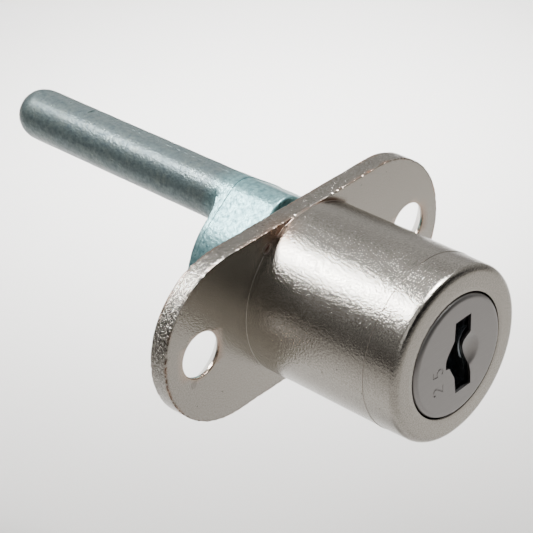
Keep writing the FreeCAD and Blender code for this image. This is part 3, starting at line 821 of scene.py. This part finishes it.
# widths of the film's grain; the real frost is finer, and this one is as coarse as it has to be to show
frost_mm, mottle_mm, drift_mm = 0.27, 0.55, 2.6
frost, mottle, drift = (
    add(tree, "ShaderNodeTexNoise",
        {"Vector": spot, "Scale": 1 / (mm * MM), "Detail": detail, "Roughness": sharpness}).outputs["Fac"]
    for mm, detail, sharpness in ((frost_mm, 3.0, 0.5), (mottle_mm, 4.0, 0.6), (drift_mm, 2.0, 0.5)))
patch = add(tree, "ShaderNodeMapRange", {0: mottle, 1: 0.36, 2: 0.68}).outputs[0]
along_pin = add(tree, "ShaderNodeSeparateXYZ", {0: spot}).outputs[1]
on_web = add(tree, "ShaderNodeMapRange", {0: along_pin, 1: 13 * MM, 2: 9.5 * MM}).outputs[0]
film = linear("#6B7D81")
for share, shade in ((drift, "#7B847E"), (patch, "#566367")):
    film = add(tree, "ShaderNodeMix", {"Factor": share, 6: film, 7: linear(shade)},
               data_type="RGBA").outputs[2]
web_film = add(tree, "ShaderNodeMix", {"Factor": patch, 6: linear("#89B1B4"), 7: linear("#587A7F")},
               data_type="RGBA").outputs[2]
tone = add(tree, "ShaderNodeMix", {"Factor": on_web, 6: film, 7: web_film}, data_type="RGBA").outputs[2]
height = 0.0
for relief, mm in ((frost, 0.046), (mottle, 0.022)):
    height = add(tree, "ShaderNodeMath", {0: relief, 1: mm, 2: height}, operation="MULTIPLY_ADD").outputs[0]
rough = add(tree, "ShaderNodeMapRange", {0: mottle, 1: 0.3, 2: 0.7, 3: 0.27, 4: 0.34}).outputs[0]
metal_surface(tree, tone, rough, height, metallic=0.73)

# %% [markdown]
# ## The crank casting
# A teardrop web stands behind the flange, and its small end runs out into a long round pin. Seen along the
# pin, the web's outline is a steady curve about the pin's axis, so the skin is again rings and columns, this
# time about the pin: a domed tip, the pin, the fillet at its root, the web's rear face, its flank and its
# front.

# %% Sizes of the crank
pin_r, pin_z, pin_tip = 3.1, 7.0, 45.6
web_r, web_front, web_rear = 8.75, 3.1, 10.2
root_r, parting_y = 1.4, 9.5
crank_columns = 480
journal_r, journal_front, lug_front = 7.55, -1.1, -2.9


def web_reach(angle):
    """From the pin's axis to the teardrop's outline."""
    lean = math.asin((web_r - pin_r) / pin_z)
    folded = np.arcsin(np.sin(angle))  # the outline is the same on both sides
    low = -pin_z * np.sin(folded) + np.sqrt(np.maximum(web_r ** 2 - (pin_z * np.cos(folded)) ** 2, 0))
    flank = pin_r / np.maximum(np.cos(folded - lean), 1e-6)
    turn_low = math.atan2(web_r * math.sin(lean) - pin_z, web_r * math.cos(lean))
    return np.where(folded > lean, pin_r, np.where(folded > turn_low, flank, low))


# %% Rings of the pin
about = np.linspace(0, 2 * math.pi, crank_columns, endpoint=False)
outline = web_reach(about)
root_out = np.minimum(outline, pin_r + root_r)
rows = []  # (radius of each column from the pin's axis, place along Y of each column)


def row(radius, y):
    rows.append([np.broadcast_to(np.asarray(v, float), about.shape) for v in (radius, y)])


dome_y = pin_tip - pin_r
for r, y in bend(0, dome_y, pin_r, 88, 0, 14):
    row(r, y)
flat_start = 34.35
for y in [*np.linspace(dome_y, flat_start + 0.06, 12)[1:], *np.linspace(flat_start, web_rear + root_r, 34)]:
    row(pin_r, y)
full_bend = np.arccos(np.clip((pin_r + root_r - root_out) / root_r, -1, 1))
for share in np.linspace(0, 1, 9)[1:]:
    row(pin_r + root_r - root_r * np.cos(full_bend * share),
        web_rear + root_r - root_r * np.sin(full_bend * share))

# %% Rings of the web
edge = 0.12 * np.clip((outline - root_out) / 0.5, 0, 1)
root_end = web_rear + root_r - root_r * np.sin(full_bend)
for share in (0.33, 0.66, 1.0):
    row(root_out + (outline - edge - root_out) * share, root_end)
row(outline - edge * 0.3, root_end - edge * 0.3)
row(outline, root_end - edge)
for share in (0.5, 1.0):
    row(outline, root_end - edge + (parting_y + 0.05 - root_end + edge) * share)
die_step = 0.08  # the two halves of the die never meet quite true
row(outline - die_step, parting_y)
for y in np.linspace(parting_y, web_front + 0.25, 9)[1:]:
    row(outline - die_step, y)
for dr, dy in bend(-0.25, 0.25, 0.25, 360, 270, 5)[1:]:
    row(outline - die_step + dr, web_front + dy)
for share in (0.8, 0.55, 0.3, 0.1, 0.01):
    row((outline - die_step - 0.25) * share, web_front)

# %% Flats along the die's parting line, and a cast skin's wander
flat_turn, flat_half = math.radians(82), math.radians(15)
flat_cut = pin_r * math.cos(flat_half)
off_flat = np.abs(about - flat_turn)
flat_radius = np.where(off_flat < flat_half, flat_cut / np.cos(off_flat), pin_r)
crank_skin = []
for radius, y in rows:
    on_pin = (np.abs(radius - pin_r) < 1e-6) & (y < flat_start + 0.01) & (y > web_rear)
    radius = np.where(on_pin, flat_radius, radius)
    crank_skin.append(np.stack([radius * np.cos(about), y, pin_z + radius * np.sin(about)], axis=-1))
crank_skin = np.array(crank_skin)
wander = ripple(crank_skin.reshape(-1, 3), 4.0, 31).reshape(crank_skin.shape[:2])
outwards = crank_skin - np.array([0, 0, pin_z])
outwards[..., 1] = 0
length = np.maximum(np.linalg.norm(outwards, axis=-1, keepdims=True), 0.5)
crank_skin += 0.010 * wander[..., None] * outwards / length

# %% The crank's skin, closed at both ends and bored for the screw
crank_points = np.vstack([crank_skin.reshape(-1, 3), (0, pin_tip, pin_z), (0, web_front, pin_z)])
crank_faces = skin_faces(len(rows), crank_columns)
tip_point = len(rows) * crank_columns
last = tip_point - crank_columns
for j in range(crank_columns):
    j1 = (j + 1) % crank_columns
    crank_faces += [(tip_point, j1, j), (tip_point + 1, last + j, last + j1)]
crank = piece_from("crank_casting", crank_points, crank_faces, blued)
close_up(crank)
counterbore = [(0, 6.8), (3.3, 6.8), (3.3, 10.08), (3.42, 10.2), (3.42, 11.65), (0, 11.65)]
carve(crank, turned("counterbore", counterbore, segments=96))

# %% Journal and stop lug, which sit inside the housing
journal_section = [(0, journal_front), (journal_r - 0.1, journal_front), (journal_r, journal_front + 0.1),
                   (journal_r, web_front + 0.2), (0, web_front + 0.2)]
journal = turned("journal", journal_section, blued, segments=180)
lug_turns, lug_inner = np.radians(np.linspace(-19.5, 19.5, 24)), 6.45
lug_outline = [(journal_r * math.cos(a), journal_r * math.sin(a)) for a in lug_turns]
lug_outline += [(lug_inner * math.cos(a), lug_inner * math.sin(a)) for a in lug_turns[::-1]]
lug = prism("lug", lug_outline, lug_front, journal_front + 0.1, blued)


def joined(name, parts):
    """Several pieces as one mesh."""
    bm = bmesh.new()
    for part in parts:
        bm.from_mesh(part.data)
    piece = piece_from(name, [], material=parts[0].data.materials[0])
    bm.to_mesh(piece.data)
    bm.free()
    for part in parts:
        bpy.data.objects.remove(part)
    return piece


crank = joined("crank_casting_whole", [crank, journal, lug])
finish(crank, crease=36.0)
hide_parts("crank_pin")
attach(crank, "plug")

# %% [markdown]
# ## Flash along the parting line
# Where the two halves of the die meet, a thread of zinc squeezes out and breaks off in short bright slivers.
# They follow a line and differ only in size, so Geometry Nodes scatter them: points on a line, some left out
# at random, a small pointed sliver on each, turned and stretched at random with a fixed seed.

# %% The flash tree
flash_tree, flash_in = node_tree_with("flash", {
    "Count": 90, "Share Kept": 0.6, "Sliver Length": 0.0005, "Sliver Width": 0.00008, "Seed": 5,
    "Material": None})
seed = flash_in["Seed"]
flash_line = add(flash_tree, "GeometryNodeMeshToCurve", {0: flash_in["Geometry"]})
places = add(flash_tree, "GeometryNodeCurveToPoints",
             {"Curve": flash_line.outputs[0], "Count": flash_in["Count"]})
keep = add(flash_tree, "FunctionNodeRandomValue", {"Probability": flash_in["Share Kept"], "Seed": seed},
           data_type="BOOLEAN")
sliver = add(flash_tree, "GeometryNodeMeshIcoSphere", {"Radius": 1.0, "Subdivisions": 2})
thick = flash_in["Sliver Width"]
stretch = add(flash_tree, "ShaderNodeCombineXYZ", {0: thick, 1: flash_in["Sliver Length"], 2: thick})
size = add(flash_tree, "FunctionNodeRandomValue", {2: 0.35, 3: 1.0, "Seed": seed}, data_type="FLOAT")
sized = add(flash_tree, "ShaderNodeVectorMath", {0: stretch.outputs[0], "Scale": size.outputs[1]},
            operation="SCALE")
lean = add(flash_tree, "FunctionNodeRandomValue",
           {0: (-0.05, -0.4, -0.06), 1: (0.05, 0.4, 0.06), "Seed": seed}, data_type="FLOAT_VECTOR")
scatter = add(flash_tree, "GeometryNodeInstanceOnPoints", {
    "Points": places.outputs["Points"], "Selection": keep.outputs[3], "Instance": sliver.outputs[0],
    "Rotation": lean.outputs[0], "Scale": sized.outputs[0]})
end_tree(flash_tree, scatter.outputs[0], flash_in["Material"])

# %% Flash on the pin
crest = Vector((math.cos(flat_turn), 0, math.sin(flat_turn))) * (flat_cut - 0.01)
pin_flash = line_from("pin_flash", [(crest.x, y, pin_z + crest.z) for y in (web_rear + 1.0, 33.8)])
run_tree(pin_flash, flash_tree, count=80, share_kept=0.55, sliver_length=0.42 * MM, sliver_width=0.055 * MM,
         seed=5, material=blued)
close_up(pin_flash, crease=60)
count_faces(pin_flash)
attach(pin_flash, "plug")

# %% [markdown]
# ## The wafer springs
# Under each wafer's ear sits one small coil, on the left and on the right in turn. All seven are the same
# wound wire, so one tree makes them: a spiral swept by the wire, set at its place and given half a turn for
# every second one. Each stays a piece of its own.

# %% The coil tree
coil_tree, coil_in = node_tree_with("wafer coil", {
    "Turns": 5.0, "Coil Radius": 0.0005, "Wire Radius": 0.0001, "Height": 0.0026, "Side": 0.0039,
    "Foot": -0.0033, "Place": -0.0158, "Half Turn": 0.0, "Material": None})
helix = add(coil_tree, "GeometryNodeCurveSpiral", {
    "Resolution": 14, "Rotations": coil_in["Turns"], "Start Radius": coil_in["Coil Radius"],
    "End Radius": coil_in["Coil Radius"], "Height": coil_in["Height"]})
wire = add(coil_tree, "GeometryNodeCurvePrimitiveCircle", {"Resolution": 8, "Radius": coil_in["Wire Radius"]})
coil = add(coil_tree, "GeometryNodeCurveToMesh",
           {"Curve": helix.outputs[0], "Profile Curve": wire.outputs["Curve"], "Fill Caps": True})
moved = add(coil_tree, "ShaderNodeCombineXYZ", {0: coil_in["Side"], 1: coil_in["Place"], 2: coil_in["Foot"]})
flip = add(coil_tree, "ShaderNodeCombineXYZ", {1: coil_in["Half Turn"]})
seated = add(coil_tree, "GeometryNodeTransform",
             {"Geometry": coil.outputs[0], "Translation": moved.outputs[0]})
flipped = add(coil_tree, "GeometryNodeTransform",
              {"Geometry": seated.outputs[0], "Rotation": flip.outputs[0]})
end_tree(coil_tree, flipped.outputs[0], coil_in["Material"])

# %% Seven coils, each between the plug and its wafer
wafer_low, wafer_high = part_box("wafer_1")
first_place = (wafer_low.y + wafer_high.y) / 2
wafer_pitch = (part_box("wafer_7")[0].y - wafer_low.y) / 6
coil_side, coil_foot, coil_height = 3.9, -3.29, 2.58
for k in range(7):
    name, way, place = "wafer_coil_%d" % (k + 1), (-1) ** k, first_place + k * wafer_pitch
    wafer_coil = piece_from(name, [(0, 0, 0)])
    run_tree(wafer_coil, coil_tree, place=place, half_turn=math.pi * (k % 2), side=coil_side * MM,
             foot=coil_foot * MM, height=coil_height * MM, coil_radius=0.51 * MM, wire_radius=0.09 * MM,
             material=spring_wire)
    close_up(wafer_coil, crease=60)
    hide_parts("wafer_spring_%d" % (k + 1))
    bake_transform(wafer_coil)
count_faces(wafer_coil)

# %% [markdown]
# ## Screw and washer in the crank
# A pan-head screw and a split spring washer hold the crank on the plug's tail. Both come off the lathe tree,
# and what a tool leaves is carved: the driver's cross in the head, and the slanting cut through the washer.

# %% Screw
head_top, head_seat, screw_end = 9.9, 7.6, -2.4
screw_section = ([(0, screw_end), (1.12, screw_end), (1.5, screw_end + 0.38), (1.5, head_seat),
                  (2.68, head_seat), (2.8, head_seat + 0.12), (2.8, head_top - 1.04)]
                 + bend(1.7, head_top - 1.04, 1.1, 0, 72, 8)
                 + [(1.12, head_top), (0.4, head_top), (0, head_top)])
crank_screw = turned("screw", screw_section, screw_steel, segments=96)
cross_half, cross_thin, cross_low = 1.6, 0.375, head_top - 1.3
for crosswise in (False, True):
    points = [(sx * (cross_thin if crosswise else cross_half * k), y,
               sz * (cross_half * k if crosswise else cross_thin))
              for y, k in ((cross_low, 0.35), (head_top + 0.2, 1.05))
              for sx, sz in ((-1, -1), (1, -1), (1, 1), (-1, 1))]
    driver = piece_from("driver", points, [
        (0, 1, 2, 3), (4, 5, 6, 7), (0, 1, 5, 4), (1, 2, 6, 5), (2, 3, 7, 6), (3, 0, 4, 7)])
    carve(crank_screw, close_up(driver))
finish(crank_screw, crease=35.0)
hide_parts("crank_screw")
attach(crank_screw, "plug")

# %% Washer
washer_section = [(1.6, 6.8), (3.0, 6.8), (3.1, 6.9), (3.1, 7.5), (3.0, 7.6), (1.6, 7.6), (1.6, 6.8)]
lock_washer = turned("lock_washer", washer_section, screw_steel, segments=72)
split_points = [(x, y, z + (0.8 if y > 7 else 0)) for x in (0.0, 4.0) for y in (6.6, 7.8) for z in (0.0, 0.5)]
carve(lock_washer, close_up(piece_from("split", split_points, [
    (0, 1, 3, 2), (4, 5, 7, 6), (0, 1, 5, 4), (2, 3, 7, 6), (0, 2, 6, 4), (1, 3, 7, 5)])))
close_up(lock_washer, crease=35.0, merge=0.0005)
count_faces(lock_washer)
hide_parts("spring_washer")
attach(lock_washer, "plug")
